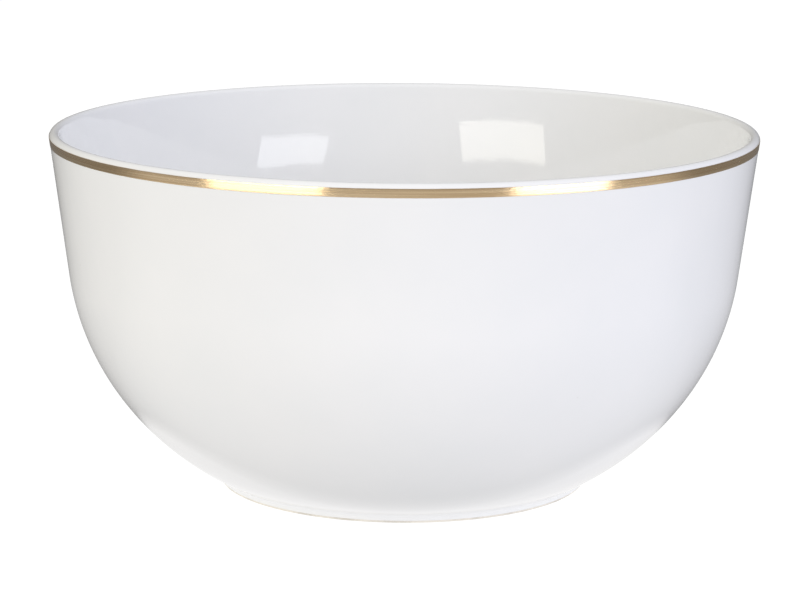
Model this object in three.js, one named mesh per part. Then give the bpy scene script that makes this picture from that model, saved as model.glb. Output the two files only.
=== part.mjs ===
// A porcelain serving bowl: one fired clay body, a coat of clear glaze over it, glaze under its base and a band of
// fired gold round the lip. Millimetres, z up, with the origin on the table under the middle of the foot ring.
// Every piece is a ring or a dish turned about the same axis, so each one is an outline revolved about z.
import * as THREE from "three";

// The whole bowl. The rim's diameter is over the glaze and without the gold.
const RIM_DIAMETER = 230;
const HEIGHT = 116.5;

// The wall, straight above the belly and this thick at the lip, over both coats of glaze. Its two sides lean out by
// their drafts. The inside leans out by more, so the wall thickens as it goes down.
const LIP_THICKNESS = 3.4;
const OUTSIDE_DRAFT = 7.3;
const INSIDE_DRAFT = 9.5;
const STRAIGHT_WALL_BOTTOM = 70;

// The belly curves in from the straight wall to the foot ring, where it leans out by this many degrees. The two
// pulls say how far the curve keeps to the line of the wall and to that lean, as shares of its chord.
const BELLY_LEAN = 61.5;
const WALL_PULL = 0.36;
const LEAN_PULL = 0.35;

// Inside, the wall goes on thickening down to the heel, this share of the way down the belly, and then sweeps into
// the floor.
const HEEL_THICKNESS = 6;
const HEEL_SHARE = 0.8;
const HEEL_PULL = 0.45;
const FLOOR_THICKNESS = 5.6;
const FLOOR_EDGE_SET_IN = 12;

// The foot ring. Its outer side would meet the belly at the foot's height, and a fillet softens that corner.
const FOOT_DIAMETER = 121;
const FOOT_HEIGHT = 2.2;
const FOOT_WIDTH = 3.2;
const FOOT_DRAFT = 8;
const FOOT_FILLET = 2.4;
const FOOT_EDGE_RADIUS = 0.4;
const RECESS_DEPTH = 3.3;
const RECESS_FILLET = 1.2;

// The glaze, and the height up to which it is wiped off the foot ring so that the bowl doesn't stick in the kiln.
const GLAZE_THICKNESS = 0.3;
const GLAZE_LINE = 0.8;

// The band of gold. It starts this many degrees above level on the round of the lip, so the top stays white.
const BAND_TOP_ANGLE = 10;
const BAND_WIDTH = 2.75;
const GOLD_THICKNESS = 0.1;

// How finely the round stretches are cut into facets.
const TURN_SEGMENTS = 60;
const BELLY_STEPS = 10;
const FLOOR_STEPS = 4;
const LIP_STEPS = 6;
const BAND_LIP_STEPS = 2;
const CORNER_STEPS = 2;

const point = (radius, height) => new THREE.Vector2(radius, height);
const radians = THREE.MathUtils.degToRad;
const leaning = (degrees) => point(Math.sin(radians(degrees)), Math.cos(radians(degrees)));
const lookingOut = (direction) => point(direction.y, -direction.x);
const along = (start, direction, distance) => start.clone().addScaledVector(direction, distance);

// The points of an arc that rounds the corner between two straight stretches and is tangent to both. It is made
// smaller where either stretch is too short for it.
function roundedCorner(before, corner, after, radius) {
  const back = before.clone().sub(corner).normalize();
  const onward = after.clone().sub(corner).normalize();
  const halfAngle = back.angleTo(onward) / 2;
  const room = Math.min(before.distanceTo(corner), after.distanceTo(corner));
  const setback = Math.min(radius / Math.tan(halfAngle), room);
  const middle = back.clone().add(onward).normalize();
  const centre = along(corner, middle, setback / Math.cos(halfAngle));
  const start = along(corner, back, setback);
  const end = along(corner, onward, setback);
  const spoke = start.clone().sub(centre);
  const lastSpoke = end.clone().sub(centre);
  const turn = Math.sign(spoke.cross(lastSpoke)) * spoke.angleTo(lastSpoke);
  const points = [];
  for (let step = 0; step <= CORNER_STEPS; step++) {
    points.push(start.clone().rotateAround(centre, (turn * step) / CORNER_STEPS));
  }
  return points;
}

// A smooth curve that leaves its start and reaches its end along two given directions.
function sweep(start, startDirection, startPull, end, endDirection, endPull) {
  const chord = start.distanceTo(end);
  const startHandle = along(start, startDirection, startPull * chord);
  const endHandle = along(end, endDirection, -endPull * chord);
  return new THREE.CubicBezierCurve(start, startHandle, endHandle, end);
}

// The foot ring's two sides, at a height above the table.
const footRadius = FOOT_DIAMETER / 2;
const sideSlope = Math.tan(radians(FOOT_DRAFT));
const footOutside = (height) => point(footRadius + height * sideSlope, height);
const footInside = (height) => point(footRadius - FOOT_WIDTH - height * sideSlope, height);

// The lip is a full round between the wall's two sides. Angles about its middle are measured up from level and
// outwards.
const lipRadius = LIP_THICKNESS / 2;
const lipMiddle = point(RIM_DIAMETER / 2 - lipRadius, HEIGHT - lipRadius);
const onLip = (angle) => along(lipMiddle, point(Math.cos(angle), Math.sin(angle)), lipRadius);
const lipStart = -radians(OUTSIDE_DRAFT);
const lipEnd = Math.PI - radians(INSIDE_DRAFT);
const bandTop = radians(BAND_TOP_ANGLE);

// The outside of the straight wall runs down from the lip.
const upTheWall = leaning(OUTSIDE_DRAFT);
const downTheWall = upTheWall.clone().negate();
const onWall = (height) => {
  const top = onLip(lipStart);
  return along(top, downTheWall, (top.y - height) / upTheWall.y);
};

// The outside, from the glaze line on the foot ring up to the lower edge of the gold.
const footCorner = footOutside(FOOT_HEIGHT);
const upTheBelly = leaning(BELLY_LEAN);
const filletReach = along(footCorner, upTheBelly, FOOT_FILLET);
const footFillet = roundedCorner(footOutside(GLAZE_LINE), footCorner, filletReach, FOOT_FILLET);
const bellyBottom = footFillet[CORNER_STEPS];
const bellyTop = onWall(STRAIGHT_WALL_BOTTOM);
const belly = sweep(bellyBottom, upTheBelly, LEAN_PULL, bellyTop, upTheWall, WALL_PULL);
const bandBottom = onWall(onLip(bandTop).y - BAND_WIDTH);
const outside = [footOutside(GLAZE_LINE), ...footFillet.slice(0, -1), ...belly.getPoints(BELLY_STEPS), bandBottom];

// The lip, in the stretch that the gold covers and the white stretch over the top.
const goldOnLip = [];
for (let step = 0; step <= BAND_LIP_STEPS; step++) {
  goldOnLip.push(onLip(THREE.MathUtils.lerp(lipStart, bandTop, step / BAND_LIP_STEPS)));
}
const whiteLip = [];
for (let step = 1; step <= LIP_STEPS; step++) {
  whiteLip.push(onLip(THREE.MathUtils.lerp(bandTop, lipEnd, step / LIP_STEPS)));
}

// The inside, from the foot of the straight wall down past the heel to the middle of the floor.
const taper = Math.tan(radians(INSIDE_DRAFT - OUTSIDE_DRAFT));
const wallFootThickness = LIP_THICKNESS + taper * bellyTop.distanceTo(onLip(lipStart));
const inside = [];
for (let step = 0; step <= BELLY_STEPS * HEEL_SHARE; step++) {
  const down = step / BELLY_STEPS;
  const stillToGo = (1 - down / HEEL_SHARE) ** 2;
  const thickness = THREE.MathUtils.lerp(HEEL_THICKNESS, wallFootThickness, stillToGo);
  const outward = lookingOut(belly.getTangent(1 - down));
  inside.push(along(belly.getPoint(1 - down), outward, -thickness));
}
const heel = inside.at(-1);
const downTheHeel = heel.clone().sub(inside.at(-2)).normalize();
const floorHeight = RECESS_DEPTH + FLOOR_THICKNESS;
const floorEdge = point(footRadius - FLOOR_EDGE_SET_IN, floorHeight);
const intoTheFloor = sweep(heel, downTheHeel, HEEL_PULL, floorEdge, point(-1, 0), HEEL_PULL);
inside.push(...intoTheFloor.getPoints(FLOOR_STEPS).slice(1), point(0, floorHeight));

// The whole glazed surface of the bowl, and the glazed surface under its base, from the middle out to the foot.
const bowlSurface = [...outside, ...goldOnLip, ...whiteLip, ...inside];
const recessCorner = footInside(RECESS_DEPTH);
const recessFillet = roundedCorner(point(0, RECESS_DEPTH), recessCorner, footInside(GLAZE_LINE), RECESS_FILLET);
const baseSurface = [point(0, RECESS_DEPTH), ...recessFillet, footInside(GLAZE_LINE)];

// The same surface sunk into the bowl by a depth, or raised off it where the depth is negative. The middle of the
// floor and of the base stays on the axis.
function sunk(surface, depth) {
  return surface.map((here, index) => {
    const before = surface[index - 1] ?? here;
    const after = surface[index + 1] ?? here;
    const outward = lookingOut(after.clone().sub(before).normalize());
    const moved = along(here, outward, -depth);
    if (here.x === 0) {
      moved.set(0, here.y - Math.sign(outward.y) * depth);
    }
    return moved;
  });
}

// Revolves an outline about the axis. Two pieces that touch run the same way along the surface they share, so that
// their facets match, and the one whose outline then runs clockwise has its faces turned over.
function revolved(outline) {
  const geometry = new THREE.LatheGeometry(outline, TURN_SEGMENTS);
  if (THREE.ShapeUtils.area(outline) < 0) {
    const corners = geometry.index.array;
    for (let face = 0; face < corners.length; face += 3) {
      [corners[face], corners[face + 1]] = [corners[face + 1], corners[face]];
    }
    geometry.computeVertexNormals();
  }
  return geometry.rotateX(Math.PI / 2);
}

const closed = (outline) => [...outline, outline[0].clone()];

function piece(name, outline, finish) {
  const mesh = new THREE.Mesh(revolved(outline), new THREE.MeshStandardMaterial(finish));
  mesh.name = name;
  return mesh;
}

// The clay body: wall, floor and foot ring in one piece, bare where the foot ring stands on the table.
function porcelainBody() {
  const bareOutside = along(footOutside(0), lookingOut(leaning(FOOT_DRAFT)), -GLAZE_THICKNESS).setY(0);
  const bareInside = along(footInside(0), lookingOut(leaning(-FOOT_DRAFT)), GLAZE_THICKNESS).setY(0);
  const underBase = sunk(baseSurface, GLAZE_THICKNESS);
  const underGlaze = sunk(bowlSurface, GLAZE_THICKNESS);
  const outline = [
    ...underBase,
    ...roundedCorner(underBase.at(-1), bareInside, bareOutside, FOOT_EDGE_RADIUS),
    ...roundedCorner(bareInside, bareOutside, underGlaze[0], FOOT_EDGE_RADIUS),
    ...underGlaze,
  ];
  return piece("porcelain_body", outline, { color: 0xf0ece4, roughness: 0.6, metalness: 0 });
}

const glazeFinish = { color: 0xf5f5f3, roughness: 0.08, metalness: 0 };

// The glaze coat: one skin from the foot ring up the outside, over the lip, down the inside and across the floor.
function glazeCoat() {
  const outline = [...sunk(bowlSurface, 0).reverse(), ...sunk(bowlSurface, GLAZE_THICKNESS)];
  return piece("glaze_coat", outline, glazeFinish);
}

// The glaze inside the foot ring, parted from the glaze coat by the bare edge that the bowl stands on.
function undersideGlaze() {
  const outline = [...sunk(baseSurface, GLAZE_THICKNESS), ...sunk(baseSurface, 0).reverse()];
  return piece("underside_glaze", outline, glazeFinish);
}

// The gold: a thin ring fired on to the outside of the glaze, just under the white top of the lip.
function goldBand() {
  const covered = [bandBottom, ...goldOnLip];
  const outline = closed([...covered.toReversed(), ...sunk(covered, -GOLD_THICKNESS)]);
  return piece("gold_band", outline, { color: 0xc8a070, roughness: 0.2, metalness: 1 });
}

const bowl = new THREE.Group();
bowl.name = "porcelain_serving_bowl";
bowl.add(porcelainBody(), glazeCoat(), undersideGlaze(), goldBand());

export default bowl;
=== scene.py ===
import math

import bpy
from mathutils import Matrix, Vector


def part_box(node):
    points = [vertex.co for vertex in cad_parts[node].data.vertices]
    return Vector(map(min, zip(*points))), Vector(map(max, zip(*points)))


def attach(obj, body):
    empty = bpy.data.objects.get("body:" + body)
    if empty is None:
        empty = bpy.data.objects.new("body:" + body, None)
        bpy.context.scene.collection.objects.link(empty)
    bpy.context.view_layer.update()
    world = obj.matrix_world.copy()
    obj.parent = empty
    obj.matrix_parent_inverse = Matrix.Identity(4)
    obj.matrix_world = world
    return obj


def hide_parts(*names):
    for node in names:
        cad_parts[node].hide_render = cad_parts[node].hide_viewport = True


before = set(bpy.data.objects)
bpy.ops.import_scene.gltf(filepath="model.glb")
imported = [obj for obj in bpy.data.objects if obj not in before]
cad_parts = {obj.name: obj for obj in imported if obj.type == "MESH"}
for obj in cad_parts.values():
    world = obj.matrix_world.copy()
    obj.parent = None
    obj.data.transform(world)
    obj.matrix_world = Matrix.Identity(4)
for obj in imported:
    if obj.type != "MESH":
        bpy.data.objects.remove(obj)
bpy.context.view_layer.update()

bpy.ops.object.select_all(action="DESELECT")
mm = 0.001


# -------------------------------------------------------------------------------- the clay body
# The bowl itself, one piece of hard white porcelain: wall, floor and foot ring. It is turned on a wheel
# against a template, so the whole shape is one outline swept round. Only the foot's edge is left bare.
body_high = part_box("porcelain_body")[1]
glaze_low, glaze_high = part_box("glaze_coat")
base_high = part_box("underside_glaze")[1]
rim_radius = glaze_high.x
rim_height = glaze_high.z
glaze_thickness = rim_height - body_high.z
glaze_line = glaze_low.z
recess_depth = base_high.z - glaze_thickness

# Drafts, leans and angles are in degrees. A pull is a share of the length that a sweep spans.
lip_thickness = 3.4 * mm
outside_draft = 7.3
inside_draft = 9.5
straight_wall_bottom = 70 * mm
belly_lean = 61.5
wall_pull = 0.36
lean_pull = 0.35
heel_thickness = 6 * mm
heel_share = 0.8
heel_pull = 0.45
floor_thickness = 5.6 * mm
floor_edge_set_in = 12 * mm
foot_radius = 60.5 * mm
foot_height = 2.2 * mm
foot_width = 3.2 * mm
foot_draft = 8
foot_fillet = 2.4 * mm
foot_edge_radius = 0.4 * mm
recess_fillet = 1.2 * mm
band_top_angle = 10
band_width = 2.75 * mm

# How finely each stretch of the outline is drawn and how often it is set round the bowl, how near two
# points are before they weld, and how sharp an edge is before it stays crisp.
segments = 256
corner_steps = 6
belly_steps = 50
wall_steps = 12
band_steps = 4
band_round_steps = 6
lip_steps = 26
into_floor_steps = 16
floor_steps = 8
on_axis = 0.001 * mm
weld = 0.005 * mm
crease_angle = 35


def leaning(degrees):
    """The way, in the outline, that leans outwards from upright by so many degrees."""
    return Vector((math.sin(math.radians(degrees)), math.cos(math.radians(degrees))))


def facing_out(way):
    """The way that a surface faces when its outline runs this way."""
    return Vector((way.y, -way.x))


def straight(start, end, steps):
    """Points evenly along a line, without its start."""
    return [start.lerp(end, step / steps) for step in range(1, steps + 1)]


def arc(middle, radius, first, last, steps):
    """Points round part of a circle, between two angles in degrees above level."""
    angles = [math.radians(first + (last - first) * step / steps) for step in range(steps + 1)]
    return [middle + radius * Vector((math.cos(angle), math.sin(angle))) for angle in angles]


def rounded(before, corner, after, radius):
    """Points of the arc that rounds a corner and is tangent to both of its sides."""
    back = (before - corner).normalized()
    onward = (after - corner).normalized()
    half_angle = back.angle(onward) / 2
    setback = radius / math.tan(half_angle)
    middle = corner + (back + onward).normalized() * (radius / math.sin(half_angle))
    spoke = corner + back * setback - middle
    last_spoke = corner + onward * setback - middle
    turned_left = spoke.x * last_spoke.y > spoke.y * last_spoke.x
    turn = (math.pi - 2 * half_angle) * (1 if turned_left else -1)
    return [middle + Matrix.Rotation(turn * step / corner_steps, 2) @ spoke
            for step in range(corner_steps + 1)]


def sweep(start, start_way, start_pull, end, end_way, end_pull, steps):
    """A smooth curve that leaves and arrives along two given ways: each point, with its way there."""
    chord = (end - start).length
    leave = start + start_way * (start_pull * chord)
    arrive = end - end_way * (end_pull * chord)
    points = []
    for step in range(steps + 1):
        t = step / steps
        s = 1 - t
        place = start * s**3 + leave * (3 * s * s * t) + arrive * (3 * s * t * t) + end * t**3
        way = (leave - start) * (s * s) + (arrive - leave) * (2 * s * t) + (end - arrive) * (t * t)
        points.append((place, way.normalized()))
    return points


# The foot ring's two sides, and the fillet where its outside meets the belly, measured over the glaze.
side_slope = math.tan(math.radians(foot_draft))


def foot_outside(height):
    """The outer side of the foot ring at a height above the table."""
    return Vector((foot_radius + height * side_slope, height))


def foot_inside(height):
    """The inner side of the foot ring at a height above the table."""
    return Vector((foot_radius - foot_width - height * side_slope, height))


up_the_belly = leaning(belly_lean)
foot_corner = foot_outside(foot_height)
fillet = rounded(foot_outside(glaze_line), foot_corner, foot_corner + up_the_belly, foot_fillet)

# The outside: the belly, the straight wall up to the gold's lower edge, and the lip, which is a full round.
up_the_wall = leaning(outside_draft)
lip_radius = lip_thickness / 2
lip_middle = Vector((rim_radius - lip_radius, rim_height - lip_radius))
gold_on_lip = arc(lip_middle, lip_radius, -outside_draft, band_top_angle, band_round_steps)
white_lip = arc(lip_middle, lip_radius, band_top_angle, 180 - inside_draft, lip_steps)


def on_wall(height):
    """The straight outer side of the wall at a height above the table."""
    return gold_on_lip[0] - up_the_wall * ((gold_on_lip[0].y - height) / up_the_wall.y)


belly_top = on_wall(straight_wall_bottom)
band_bottom = on_wall(gold_on_lip[-1].y - band_width)
belly = sweep(fillet[-1], up_the_belly, lean_pull, belly_top, up_the_wall, wall_pull, belly_steps)
outside = [foot_outside(glaze_line), *fillet[:-1], *[place for place, way in belly]]
outside += straight(belly_top, band_bottom, wall_steps)
outside += straight(band_bottom, gold_on_lip[0], band_steps)

# The inside leans out a little more than the outside, so the wall thickens down to the heel. From there
# the inside sweeps into the floor.
taper = math.tan(math.radians(inside_draft - outside_draft))
wall_foot_thickness = lip_thickness + taper * (gold_on_lip[0] - belly_top).length
inside = []
for step in range(round(belly_steps * heel_share) + 1):
    place, way = belly[belly_steps - step]
    still_to_go = (1 - step / belly_steps / heel_share) ** 2
    thickness = heel_thickness + (wall_foot_thickness - heel_thickness) * still_to_go
    inside.append(place - facing_out(way) * thickness)
heel = inside[-1]
down_the_heel = (heel - inside[-2]).normalized()
floor_height = recess_depth + floor_thickness
floor_edge = Vector((foot_radius - floor_edge_set_in, floor_height))
to_the_middle = Vector((-1, 0))
into_floor = sweep(
    heel, down_the_heel, heel_pull, floor_edge, to_the_middle, heel_pull, into_floor_steps)
inside = straight(white_lip[-1], inside[0], wall_steps) + inside[1:]
inside += [place for place, way in into_floor[1:]]
inside += straight(floor_edge, Vector((0, floor_height)), floor_steps)
bowl_surface = outside + gold_on_lip[1:] + white_lip[1:] + inside

# The hollow under the base, from its middle out to the glaze line inside the foot ring.
recess_middle = Vector((0, recess_depth))
recess_round = rounded(recess_middle, foot_inside(recess_depth), foot_inside(0), recess_fillet)
base_surface = [recess_middle, *straight(recess_middle, recess_round[0], floor_steps), *recess_round[1:]]
base_surface.append(foot_inside(glaze_line))


def sunk(surface, depth):
    """The same outline, sunk into the bowl by a depth. Points on the axis stay on it."""
    moved = []
    for number, here in enumerate(surface):
        before = surface[max(number - 1, 0)]
        after = surface[min(number + 1, len(surface) - 1)]
        place = here - facing_out((after - before).normalized()) * depth
        if here.x < on_axis:
            place.x = 0
        moved.append(place)
    return moved


under_glaze = sunk(bowl_surface, glaze_thickness)
over_recess = sunk(base_surface, glaze_thickness)
edge_outside = foot_outside(0) - facing_out(leaning(foot_draft)) * glaze_thickness
edge_inside = foot_inside(0) + facing_out(leaning(-foot_draft)) * glaze_thickness
edge_outside.y = edge_inside.y = 0
foot_edge = rounded(over_recess[-1], edge_inside, edge_outside, foot_edge_radius)
foot_edge += rounded(edge_inside, edge_outside, under_glaze[0], foot_edge_radius)
clay_outline = over_recess + foot_edge + under_glaze


def turned(name, outline):
    """A solid turned on the wheel: its outline is drawn out point by point and swept once round the axis."""
    size = (outline[1] - outline[0]).length
    first = outline[0]
    bpy.ops.mesh.primitive_plane_add(size=size, location=(first.x, 0, first.y))
    piece = bpy.context.object
    piece.name = name
    bpy.ops.object.transform_apply(location=True, rotation=True, scale=True)
    bpy.ops.object.mode_set(mode="EDIT")
    bpy.ops.mesh.select_mode(type="VERT")
    bpy.ops.mesh.merge(type="CENTER")
    for before, here in zip(outline, outline[1:]):
        move = {"value": (here.x - before.x, 0, here.y - before.y)}
        bpy.ops.mesh.extrude_vertices_move(TRANSFORM_OT_translate=move)
    bpy.ops.mesh.select_all(action="SELECT")
    bpy.ops.mesh.spin(steps=segments, angle=math.tau, center=(0, 0, 0), axis=(0, 0, 1))
    bpy.ops.mesh.select_all(action="SELECT")
    bpy.ops.mesh.remove_doubles(threshold=weld)
    bpy.ops.mesh.normals_make_consistent(inside=False)
    bpy.ops.object.mode_set(mode="OBJECT")
    return piece


def pick(piece):
    """Makes one piece the only one selected, for what is done to it next."""
    bpy.ops.object.select_all(action="DESELECT")
    piece.select_set(True)
    bpy.context.view_layer.objects.active = piece


def smoothed(piece):
    """Smooth shading that keeps the true edges crisp."""
    pick(piece)
    bpy.ops.object.shade_smooth_by_angle(angle=math.radians(crease_angle))


def feed(tree, socket, value):
    """Gives an input a plain value, or joins another node's output to it."""
    if isinstance(value, bpy.types.NodeSocket):
        tree.links.new(value, socket)
    else:
        socket.default_value = value


def node(tree, kind, inputs, **settings):
    """One node of a material, with what its inputs take."""
    new = tree.nodes.new("ShaderNode" + kind)
    for setting, value in settings.items():
        setattr(new, setting, value)
    for name, value in inputs.items():
        feed(tree, new.inputs[name], value)
    return new


def math_node(tree, operation, first, second=0.0):
    """The result of one sum."""
    new = node(tree, "Math", {}, operation=operation)
    feed(tree, new.inputs[0], first)
    feed(tree, new.inputs[1], second)
    return new.outputs[0]


def ranged(tree, value, low, high, at_low=0.0, at_high=1.0):
    """A number that goes from one value to another while the value it follows goes from low to high."""
    return node(tree, "MapRange", {
        "Value": value, "From Min": low, "From Max": high, "To Min": at_low, "To Max": at_high}).outputs[0]


def effect(name, takes, gives):
    """An empty node group with named numbers going in and out, and its two end nodes."""
    group = bpy.data.node_groups.new(name, "ShaderNodeTree")
    for socket in takes:
        kind = "NodeSocketVector" if socket == "Place" else "NodeSocketFloat"
        group.interface.new_socket(socket, in_out="INPUT", socket_type=kind)
    for socket in gives:
        group.interface.new_socket(socket, in_out="OUTPUT", socket_type="NodeSocketFloat")
    start = group.nodes.new("NodeGroupInput").outputs
    end = group.nodes.new("NodeGroupOutput").inputs
    return group, start, end


# Turning rings: the faint ridges that the template leaves as the wheel turns. They run level round a wall
# and in circles on a floor, so they follow height plus radius. Spacing is in metres.
turning_rings, start, end = effect("turning_rings", ["Place", "Spacing"], ["Height"])
split = node(turning_rings, "SeparateXYZ", {"Vector": start["Place"]}).outputs
x_squared = math_node(turning_rings, "MULTIPLY", split["X"], split["X"])
y_squared = math_node(turning_rings, "MULTIPLY", split["Y"], split["Y"])
radius = math_node(turning_rings, "SQRT", math_node(turning_rings, "ADD", x_squared, y_squared))
along = math_node(turning_rings, "ADD", radius, split["Z"])
along = math_node(turning_rings, "DIVIDE", along, start["Spacing"])
rings = node(turning_rings, "TexNoise", {"W": along, "Scale": 1.0, "Detail": 2.0}, noise_dimensions="1D")
turning_rings.links.new(rings.outputs[0], end["Height"])

# Ripple: soft swells and a finer grain over them, as on any surface that was once wet. Sizes are in metres.
ripple, start, end = effect("ripple", ["Place", "Swell size", "Grain size", "Grain share"], ["Height"])
swells = node(ripple, "TexNoise", {
    "Vector": start["Place"], "Detail": 1.0, "Scale": math_node(ripple, "DIVIDE", 1.0, start["Swell size"])})
grain = node(ripple, "TexNoise", {
    "Vector": start["Place"], "Detail": 2.0, "Scale": math_node(ripple, "DIVIDE", 1.0, start["Grain size"])})
grain_part = math_node(ripple, "MULTIPLY", grain.outputs[0], start["Grain share"])
ripple.links.new(math_node(ripple, "ADD", swells.outputs[0], grain_part), end["Height"])

# Specks: small round spots, scattered so that only a share of the places that could hold one does. The
# middle of a speck, up to a share of its size, is solid, and it fades out from there.
solid_middle = 0.4
specks, start, end = effect("specks", ["Place", "Spacing", "Size", "Share"], ["Mask"])
cells = node(specks, "TexVoronoi", {
    "Vector": start["Place"], "Scale": math_node(specks, "DIVIDE", 1.0, start["Spacing"])})
reach = math_node(specks, "MULTIPLY", cells.outputs["Distance"], start["Spacing"])
near = node(specks, "MapRange", {
    "Value": reach, "From Min": start["Size"],
    "From Max": math_node(specks, "MULTIPLY", start["Size"], solid_middle),
    "To Min": 0.0, "To Max": 1.0}, interpolation_type="SMOOTHSTEP")
lot = node(specks, "SeparateColor", {"Color": cells.outputs["Color"]}).outputs[0]
chosen = math_node(specks, "LESS_THAN", lot, start["Share"])
specks.links.new(math_node(specks, "MULTIPLY", near.outputs[0], chosen), end["Mask"])


def place_effect(tree, group, **numbers):
    """A shared effect set into a material, read at the piece's own place, with the material's own numbers."""
    made = tree.nodes.new("ShaderNodeGroup")
    made.node_tree = group
    tree.links.new(tree.nodes["Texture Coordinate"].outputs["Object"], made.inputs["Place"])
    for name, value in numbers.items():
        made.inputs[name.replace("_", " ")].default_value = value
    return made.outputs[0]


def new_finish(name):
    """A new material with its shader and its coordinates ready."""
    finish = bpy.data.materials.new(name)
    finish.use_nodes = True
    tree = finish.node_tree
    tree.nodes.new("ShaderNodeTexCoord")
    return finish, tree, tree.nodes["Principled BSDF"]


def blend_colour(tree, share, first, second):
    """A mix of two colours by a share. On a mix node they are inputs 6 and 7, and the result is output 2."""
    mix = node(tree, "Mix", {"Factor": share}, data_type="RGBA")
    for socket, colour in ((mix.inputs[6], first), (mix.inputs[7], second)):
        feed(tree, socket, colour if isinstance(colour, bpy.types.NodeSocket) else (*colour, 1.0))
    return mix.outputs[2]


def relief(tree, shader, *layers):
    """Layers of fine relief, one upon the other, each a height from 0 to 1 and its depth in metres."""
    normal = None
    for height, depth in layers:
        bump = node(tree, "Bump", {"Strength": 1.0, "Distance": depth, "Height": height})
        if normal:
            tree.links.new(normal, bump.inputs["Normal"])
        normal = bump.outputs["Normal"]
    tree.links.new(normal, shader.inputs["Normal"])


# Bare porcelain, sanded smooth where it stands on the table: a dry, fine, faintly grey-cream surface with
# a few specks of iron, and greyed a little where the foot has slid about.
fired_clay, tree, shader = new_finish("fired_clay")
clay_white = (0.74, 0.70, 0.62)
clay_soiled = (0.47, 0.44, 0.39)
iron_brown = (0.16, 0.10, 0.06)
iron_in_clay = 0.7
sanding_depth = 0.02 * mm
turning_depth = 0.015 * mm
soiling = place_effect(tree, ripple, Swell_size=9 * mm, Grain_size=0.7 * mm, Grain_share=0.5)
soiled = ranged(tree, soiling, 0.72, 1.0, at_high=0.6)
colour = blend_colour(tree, soiled, clay_white, clay_soiled)
iron = place_effect(tree, specks, Spacing=3.5 * mm, Size=0.22 * mm, Share=0.25)
colour = blend_colour(tree, math_node(tree, "MULTIPLY", iron, iron_in_clay), colour, iron_brown)
tree.links.new(colour, shader.inputs["Base Color"])
tree.links.new(ranged(tree, soiling, 0.5, 1.0, at_low=0.78, at_high=0.6), shader.inputs["Roughness"])
sanded = place_effect(tree, ripple, Swell_size=0.9 * mm, Grain_size=0.25 * mm, Grain_share=0.6)
marks = place_effect(tree, turning_rings, Spacing=0.35 * mm)
relief(tree, shader, (sanded, sanding_depth), (marks, turning_depth))

body = turned("fired_body", clay_outline)
body.data.materials.append(fired_clay)
smoothed(body)
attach(body, "root")
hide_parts("porcelain_body")


# -------------------------------------------------------------------------------- the glaze coat
# Clear feldspar glaze over white clay. The bowl is dipped and fired, so one even skin runs from the foot up
# the outside, over the lip and across the floor. It ends in a soft bead where it was sponged off the foot.
bead_radius = 0.12 * mm
bead_steps = 3
bead_angle = 60
line_margin = 0.06 * mm
hair = 0.002 * mm


def coat_from(piece, name, belongs):
    """A copy of a piece's surface that keeps only the faces whose middles belong to the new coat."""
    pick(piece)
    bpy.ops.object.duplicate()
    coat = bpy.context.object
    coat.name = name
    coat.parent = None
    coat.data.materials.clear()
    for leftover in list(coat.keys()):
        del coat[leftover]
    bpy.context.tool_settings.mesh_select_mode = (False, False, True)
    for face in coat.data.polygons:
        middle = face.center
        face.select = not belongs(math.hypot(middle.x, middle.y), middle.z)
    bpy.ops.object.mode_set(mode="EDIT")
    bpy.ops.mesh.delete(type="FACE")
    bpy.ops.object.mode_set(mode="OBJECT")
    return coat


def thickened(piece, thickness, edge_radius):
    """The surface made a solid skin, built outwards, with its open edges closed and rounded. It is a hair
    thinner than its full size, because the corners between its facets stand out by about that."""
    pick(piece)
    solid = piece.modifiers.new("skin", "SOLIDIFY")
    solid.thickness = thickness - hair
    solid.offset = 1
    solid.use_even_offset = True
    solid.use_quality_normals = True
    bpy.ops.object.modifier_apply(modifier="skin")
    bevel = piece.modifiers.new("edge", "BEVEL")
    bevel.width = edge_radius
    bevel.segments = bead_steps
    bevel.limit_method = "ANGLE"
    bevel.angle_limit = math.radians(bead_angle)
    bpy.ops.object.modifier_apply(modifier="edge")


# The glaze is a shade greyer where it pooled, and holds a rare speck of iron or a pinhole. Its gloss is
# near that of glass, with a slight orange peel and the turning rings of the clay just showing through.
white_glaze, tree, shader = new_finish("white_glaze")
glaze_white = (0.805, 0.806, 0.800)
glaze_pooled = (0.787, 0.793, 0.789)
glaze_index = 1.52
iron_in_glaze = 0.45
peel_depth = 0.012 * mm
ring_depth = 0.002 * mm
pinhole_depth = 0.03 * mm
shader.inputs["IOR"].default_value = glaze_index
swells = place_effect(tree, ripple, Swell_size=26 * mm, Grain_size=6 * mm, Grain_share=0.35)
colour = blend_colour(tree, ranged(tree, swells, 0.45, 0.95), glaze_white, glaze_pooled)
iron = place_effect(tree, specks, Spacing=17 * mm, Size=0.24 * mm, Share=0.16)
colour = blend_colour(tree, math_node(tree, "MULTIPLY", iron, iron_in_glaze), colour, iron_brown)
tree.links.new(colour, shader.inputs["Base Color"])
tree.links.new(ranged(tree, swells, 0.4, 1.0, at_low=0.02, at_high=0.04), shader.inputs["Roughness"])
orange_peel = place_effect(tree, ripple, Swell_size=9 * mm, Grain_size=1.3 * mm, Grain_share=0.04)
rings = place_effect(tree, turning_rings, Spacing=3.2 * mm)
pinholes = place_effect(tree, specks, Spacing=9 * mm, Size=0.18 * mm, Share=0.2)
sunken = math_node(tree, "SUBTRACT", 1.0, pinholes)
relief(tree, shader, (orange_peel, peel_depth), (rings, ring_depth), (sunken, pinhole_depth))


def under_the_base(radius, height):
    """Whether a place on the clay is in the hollow inside the foot ring."""
    return radius < foot_radius - foot_width / 2 and height < recess_depth + floor_thickness / 2


def in_the_dipped_coat(radius, height):
    """Whether a place on the clay is covered by the coat outside and inside the bowl."""
    return height > glaze_line + line_margin and not under_the_base(radius, height)


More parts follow.
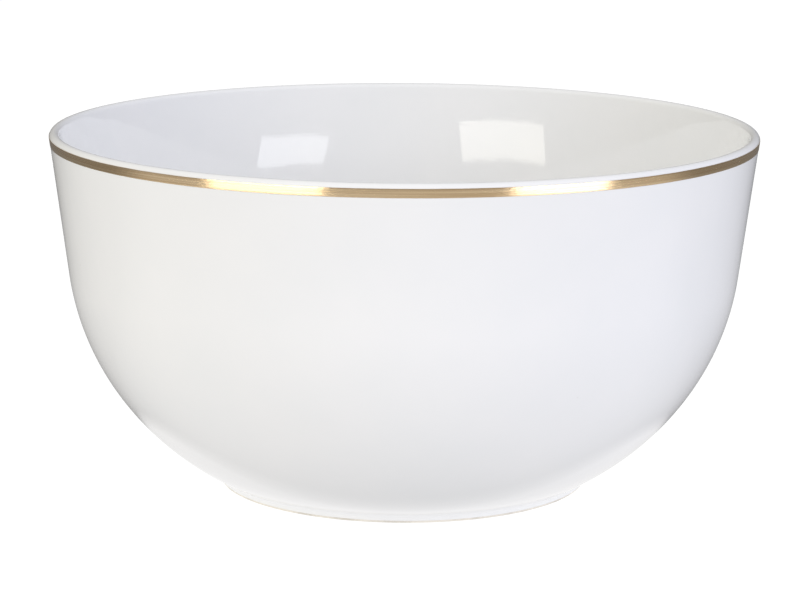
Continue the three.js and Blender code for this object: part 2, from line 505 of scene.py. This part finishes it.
glaze = coat_from(body, "white_glaze_coat", in_the_dipped_coat)
thickened(glaze, glaze_thickness, bead_radius)
glaze.data.materials.append(white_glaze)
smoothed(glaze)
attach(glaze, "root")
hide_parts("glaze_coat")


# -------------------------------------------------------------------------------- the base glaze
# The same glaze in the hollow inside the foot ring. The foot's bare edge parts it from the coat outside,
# because glaze there would melt on to the kiln shelf.
def in_the_base_coat(radius, height):
    """Whether a place on the clay is glazed inside the foot ring."""
    return height > glaze_line + line_margin and under_the_base(radius, height)


base = coat_from(body, "base_glaze_coat", in_the_base_coat)
thickened(base, glaze_thickness, bead_radius)
base.data.materials.append(white_glaze)
smoothed(base)
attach(base, "root")
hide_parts("underside_glaze")


# -------------------------------------------------------------------------------- the gold band
# Liquid bright gold, put on with a brush while the bowl turns on a banding wheel, and fired a second time.
# It lies on the glaze just under the top of the lip. Its two edges are a little uneven, as brushed edges are.
gold_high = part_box("gold_band")[1]
gold_thickness = gold_high.x - rim_radius
gold_edge_radius = 0.04 * mm
waver = 0.10 * mm
waver_size = 7 * mm

band_foot = band_bottom.y
band_head = gold_on_lip[-1].y


def gilded(radius, height):
    """Whether a place on the finished glaze is on its outer face and between the band's two edges."""
    if not band_foot < height < band_head:
        return False
    if height < gold_on_lip[0].y:
        return radius > on_wall(height).x - glaze_thickness / 2
    from_lip_middle = (Vector((radius, height)) - lip_middle).length
    return from_lip_middle > lip_radius - glaze_thickness / 2 and radius > lip_middle.x


gold = coat_from(glaze, "gilded_band", gilded)
edges = gold.vertex_groups.new(name="brushed_edges")
on_edge = [corner.index for corner in gold.data.vertices
           if corner.co.z < band_foot + line_margin or corner.co.z > band_head - line_margin]
edges.add(on_edge, 1.0, "REPLACE")
unevenness = bpy.data.textures.new("brush_waver", "CLOUDS")
unevenness.noise_scale = waver_size
brushed = gold.modifiers.new("brushed", "DISPLACE")
brushed.texture = unevenness
brushed.texture_coords = "LOCAL"
brushed.direction = "Z"
brushed.strength = waver
brushed.mid_level = 0.5
brushed.vertex_group = "brushed_edges"
bpy.ops.object.modifier_apply(modifier="brushed")
thickened(gold, gold_thickness, gold_edge_radius)

# The brush leaves the gold in fine level strokes, thin in places and with a few worn specks. They throw
# light up and down far more than from side to side.
bright_gold, tree, shader = new_finish("bright_gold")
gold_colour = (0.93, 0.72, 0.46)
gold_thin = (0.80, 0.58, 0.34)
stroke_length = 60 * mm
stroke_width = 0.35 * mm
stroke_depth = 0.004 * mm
surface_depth = 0.011 * mm
wear = 0.8
stroke_blur = 0.98
quarter_turn = 0.25
shader.inputs["Anisotropic"].default_value = stroke_blur
shader.inputs["Anisotropic Rotation"].default_value = quarter_turn
coords = tree.nodes["Texture Coordinate"].outputs["Object"]
flattened = node(tree, "Mapping", {"Vector": coords, "Scale": (1.0, 1.0, stroke_length / stroke_width)})
strokes = node(tree, "TexNoise", {
    "Vector": flattened.outputs[0], "Scale": 1 / stroke_length, "Detail": 5.0}).outputs[0]
colour = blend_colour(tree, ranged(tree, strokes, 0.40, 0.62), gold_colour, gold_thin)
tree.links.new(colour, shader.inputs["Base Color"])
worn = place_effect(tree, specks, Spacing=2.1 * mm, Size=0.16 * mm, Share=0.05)
metal_left = math_node(tree, "SUBTRACT", 1.0, math_node(tree, "MULTIPLY", worn, wear))
tree.links.new(metal_left, shader.inputs["Metallic"])
tree.links.new(ranged(tree, strokes, 0.35, 0.65, at_low=0.24, at_high=0.30), shader.inputs["Roughness"])
surface = place_effect(tree, ripple, Swell_size=1.3 * mm, Grain_size=0.4 * mm, Grain_share=0.3)
relief(tree, shader, (strokes, stroke_depth), (surface, surface_depth))

gold.data.materials.append(bright_gold)
smoothed(gold)
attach(gold, "root")
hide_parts("gold_band")


# -------------------------------------------------------------------------------- the studio
# A white table in a room that is dim by comparison, with a soft light on each side in front of the bowl.
# Only the bowl's gloss sees the room and the faces of the lights. To the eye, all round the bowl is white.
table_size = 12
bpy.ops.mesh.primitive_plane_add(size=table_size, location=(0, 0, 0))
table = bpy.context.object
table.name = "table"


def fading(tree, value, *stops):
    """A strength that goes from one to the next along a value. Each stop is a value and its strength."""
    strength = stops[0][1]
    for (near, before), (far, after) in zip(stops, stops[1:]):
        step = ranged(tree, value, near, far, at_high=after - before)
        strength = math_node(tree, "ADD", strength, step)
    return strength


def glow(tree, colour, strength):
    """Light of its own."""
    return node(tree, "Emission", {"Color": (*colour, 1.0), "Strength": strength}).outputs[0]


def blend_light(tree, share, first, second):
    """A mix of two shaders by a share."""
    mix = tree.nodes.new("ShaderNodeMixShader")
    for socket, value in zip(mix.inputs, (share, first, second)):
        tree.links.new(value, socket)
    return mix.outputs[0]


table_white = bpy.data.materials.new("table_white")
table_white.use_nodes = True
tree = table_white.node_tree
tree.nodes.clear()
path = tree.nodes.new("ShaderNodeLightPath").outputs
coords = tree.nodes.new("ShaderNodeTexCoord").outputs["Object"]
distance = node(tree, "VectorMath", {"Vector": coords}, operation="LENGTH").outputs["Value"]
plan = node(tree, "SeparateXYZ", {"Vector": coords}).outputs

# To the eye: white, with a faint contact shadow.
shadow_share = (0.16, 0.16, 0.16, 1.0)
eye_white = (1.0, 1.0, 1.0)
eye_strength = 0.92
seen = tree.nodes.new("ShaderNodeAddShader")
tree.links.new(node(tree, "BsdfDiffuse", {"Color": shadow_share}).outputs[0], seen.inputs[0])
tree.links.new(glow(tree, eye_white, eye_strength), seen.inputs[1])

# In the bowl's gloss: brighter in front, dim far off, and bright again close round the foot, where the
# patch of light lies a little to the back and is wider than it is deep.
mirrored_white = (1.0, 0.99, 0.985)
patch_back = (0.0, -0.014, 0.0)
patch_widened = (0.77, 1.0, 1.0)
in_front = fading(tree, plan["Y"], (-0.07, 1.0), (0.03, 0.45))
far_off = fading(tree, distance, (0.10, 0.62), (0.28, 0.78), (0.55, 0.40))
patch = node(tree, "Mapping", {"Vector": coords, "Location": patch_back, "Scale": patch_widened}).outputs[0]
from_patch = node(tree, "VectorMath", {"Vector": patch}, operation="LENGTH").outputs["Value"]
foot_light = fading(tree, from_patch, (0.074, 0.55), (0.084, 0.0))
far_light = math_node(tree, "MULTIPLY", in_front, far_off)
mirrored = glow(tree, mirrored_white, math_node(tree, "ADD", far_light, foot_light))

# On the bowl's matt white: what the table bounces up, least under the base and most at the foot.
bounced_white = (0.99, 0.985, 1.0)
bounced_light = fading(
    tree, distance, (0.054, 0.65), (0.058, 1.10), (0.066, 1.10), (0.074, 0.84),
    (0.12, 0.93), (0.20, 0.92), (0.35, 0.74))
layers = glow(tree, bounced_white, bounced_light)
layers = blend_light(tree, path["Is Glossy Ray"], layers, mirrored)
layers = blend_light(tree, path["Is Camera Ray"], layers, seen.outputs[0])

# From below the table can be seen through, so that the bowl's base can be looked at.
underneath = node(tree, "NewGeometry", {}).outputs["Backfacing"]
from_below = math_node(tree, "MULTIPLY", path["Is Camera Ray"], underneath)
clear = tree.nodes.new("ShaderNodeBsdfTransparent").outputs[0]
layers = blend_light(tree, from_below, layers, clear)
output = tree.nodes.new("ShaderNodeOutputMaterial")
tree.links.new(layers, output.inputs["Surface"])
table_white.cycles.emission_sampling = "NONE"
table.data.materials.append(table_white)


def lamp_face(name, start, end, height, lean, colour, strength):
    """The lit face of a soft light, which only the bowl's gloss sees. It stands upright between two places,
    the middles of its two ends, and its lower edge is set along from its upper one by the lean."""
    start, end = Vector(start), Vector(end)
    along = end - start
    width = along.to_2d().length
    heading = math.atan2(along.y, along.x)
    tilt = -math.atan2(along.z, width)
    bpy.ops.mesh.primitive_plane_add(
        size=1, location=(start + end) / 2, rotation=(math.pi / 2, tilt, heading))
    face = bpy.context.object
    face.name = name
    face.scale = (along.length, height, 1)
    for corner in face.data.vertices:
        corner.co.x -= corner.co.y * lean / along.length
    lit = bpy.data.materials.new(name + "_glow")
    lit.use_nodes = True
    tree = lit.node_tree
    tree.nodes.clear()
    output = tree.nodes.new("ShaderNodeOutputMaterial")
    tree.links.new(glow(tree, colour, strength), output.inputs["Surface"])
    lit.cycles.emission_sampling = "NONE"
    face.data.materials.append(lit)
    face.visible_camera = False
    face.visible_diffuse = False
    face.visible_shadow = False


# Each light is a wide bright face with a dimmer strip above it.
warm = (1.0, 0.975, 0.88)
cool = (0.95, 0.965, 1.0)
face_height = 0.15
face_middle = 0.0765
lamp_face("left_lamp_face", (-0.471, -0.306, face_middle), (-0.208, -0.500, face_middle),
          face_height, lean=0, colour=warm, strength=6.5)
lamp_face("left_lamp_top", (-0.471, -0.306, 0.1985), (-0.208, -0.500, 0.214),
          height=0.0225, lean=-0.023, colour=warm, strength=3.9)
lamp_face("right_lamp_face", (0.250, -0.430, face_middle), (0.410, -0.248, face_middle),
          face_height, lean=0, colour=cool, strength=7.0)
lamp_face("right_lamp_top", (0.260, -0.418, 0.1965), (0.420, -0.236, 0.178),
          height=0.0175, lean=0.032, colour=cool, strength=3.6)

light_size = 1.0
middle_of_bowl = Vector((0, 0, 0.06))


def soft_light(name, place, colour, power):
    """A large soft light aimed at the middle of the bowl. The gloss sees the lit faces in its stead."""
    light = bpy.data.lights.new(name, "AREA")
    light.size = light_size
    light.color = colour
    light.energy = power
    lamp = bpy.data.objects.new(name, light)
    bpy.context.scene.collection.objects.link(lamp)
    lamp.location = place
    lamp.rotation_euler = (middle_of_bowl - Vector(place)).to_track_quat("-Z", "Y").to_euler()
    lamp.visible_camera = False
    lamp.visible_glossy = False


soft_light("left_light", (-1.1, -1.0, 0.78), colour=(1.0, 0.957, 0.86), power=9.3)
soft_light("right_light", (1.1, -1.0, 0.76), colour=(0.86, 0.88, 1.0), power=10.1)

# The room: pale and soft on the bowl's matt white, warm at the left and cool at the right, and dim in its
# gloss. Behind the bowl it is plain white to the eye.
level_left = (0.89, 0.86, 0.77)
level_right = (0.775, 0.795, 1.0)
overhead = (0.64, 0.64, 0.635)
gloss_level = (0.24, 0.23, 0.22)
gloss_overhead = (0.45, 0.45, 0.46)
nearly_overhead = 0.9
world = bpy.data.worlds.new("room")
world.use_nodes = True
bpy.context.scene.world = world
tree = world.node_tree
tree.nodes.clear()
path = tree.nodes.new("ShaderNodeLightPath").outputs
heading = tree.nodes.new("ShaderNodeTexCoord").outputs["Generated"]
split = node(tree, "SeparateXYZ", {"Vector": heading}).outputs
across = ranged(tree, split["X"], -1.0, 1.0)
upward = ranged(tree, split["Z"], 0.0, nearly_overhead)
level_light = blend_colour(tree, across, level_left, level_right)
soft_colour = blend_colour(tree, upward, level_light, overhead)
room_colour = blend_colour(tree, upward, gloss_level, gloss_overhead)
soft_or_room = blend_colour(tree, path["Is Glossy Ray"], soft_colour, room_colour)
seen_or_not = blend_colour(tree, path["Is Camera Ray"], soft_or_room, eye_white)
background = node(tree, "Background", {"Color": seen_or_not, "Strength": 1.0})
output = tree.nodes.new("ShaderNodeOutputWorld")
tree.links.new(background.outputs[0], output.inputs["Surface"])

# The camera stands in front of the bowl and looks a little down on it.
camera_place = Vector((0, -0.9686, 0.2552))
looking_down = 0.201
roll = 0.006
lens_data = bpy.data.cameras.new("camera")
lens_data.sensor_width = 36
lens_data.lens = 133.2
lens_data.shift_x = 0.0025
camera = bpy.data.objects.new("camera", lens_data)
bpy.context.scene.collection.objects.link(camera)
camera.matrix_world = (Matrix.Translation(camera_place)
                       @ Matrix.Rotation(math.pi / 2 - looking_down, 4, "X") @ Matrix.Rotation(roll, 4, "Z"))
bpy.context.scene.camera = camera
bpy.context.scene.view_settings.view_transform = "Standard"
